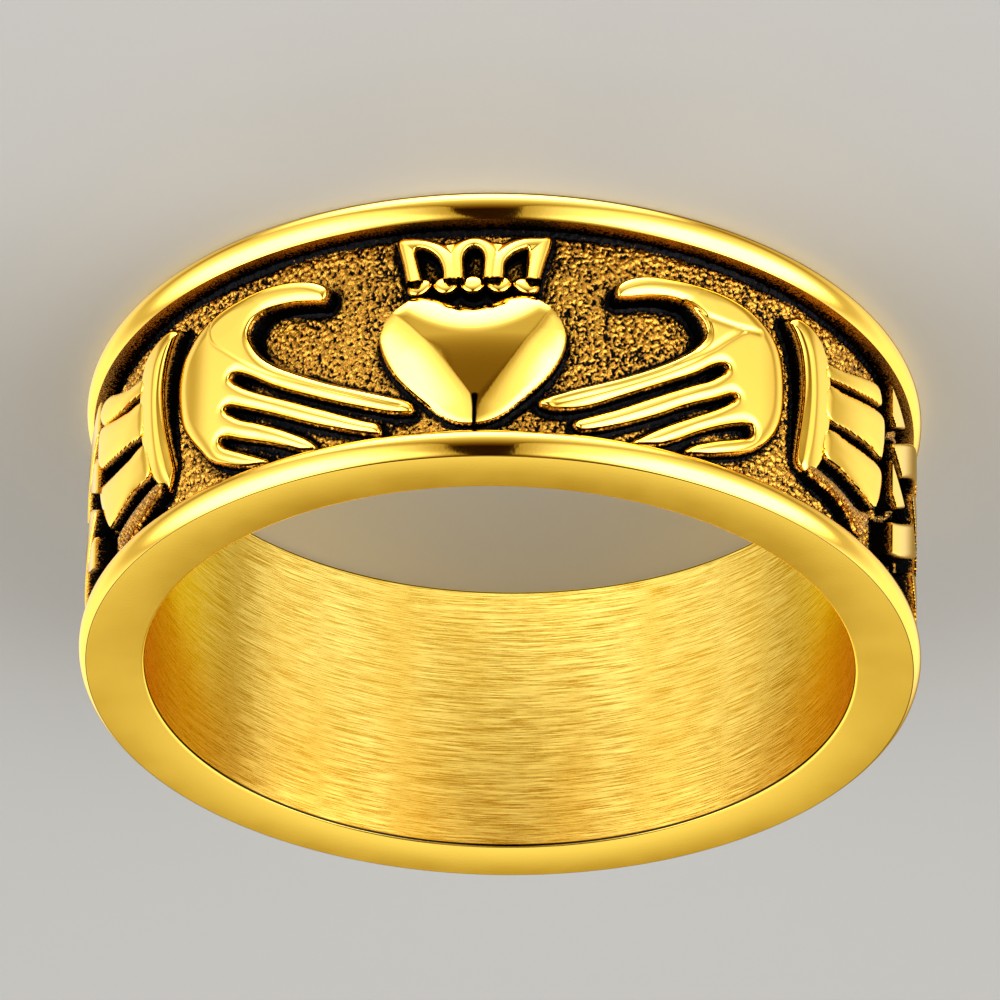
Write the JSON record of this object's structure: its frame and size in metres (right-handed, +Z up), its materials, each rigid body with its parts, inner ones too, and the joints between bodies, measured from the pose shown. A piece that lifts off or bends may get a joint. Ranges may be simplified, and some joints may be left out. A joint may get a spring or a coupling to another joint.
{
  "type": "claddagh ring",
  "caption": "Wide cast band ring with domed rims and a recessed channel that holds a crowned heart, cuffed hands, pleated sleeves and a flat plait in relief.",
  "frame": {"origin": "on the ring's axis, in the plane of the lower end face, which is the crown's end", "axes": "+Z up along the ring's axis, -Y out through the middle of the heart, +X to the right seen from the heart's side"},
  "size_m": [0.0224, 0.0224, 0.0081],
  "materials": {
    "gold": "polished yellow gold plate, with a stippled and blackened channel floor"
  },
  "bodies": {
    "root": {"ring": "gold"}
  },
  "joints": []
}
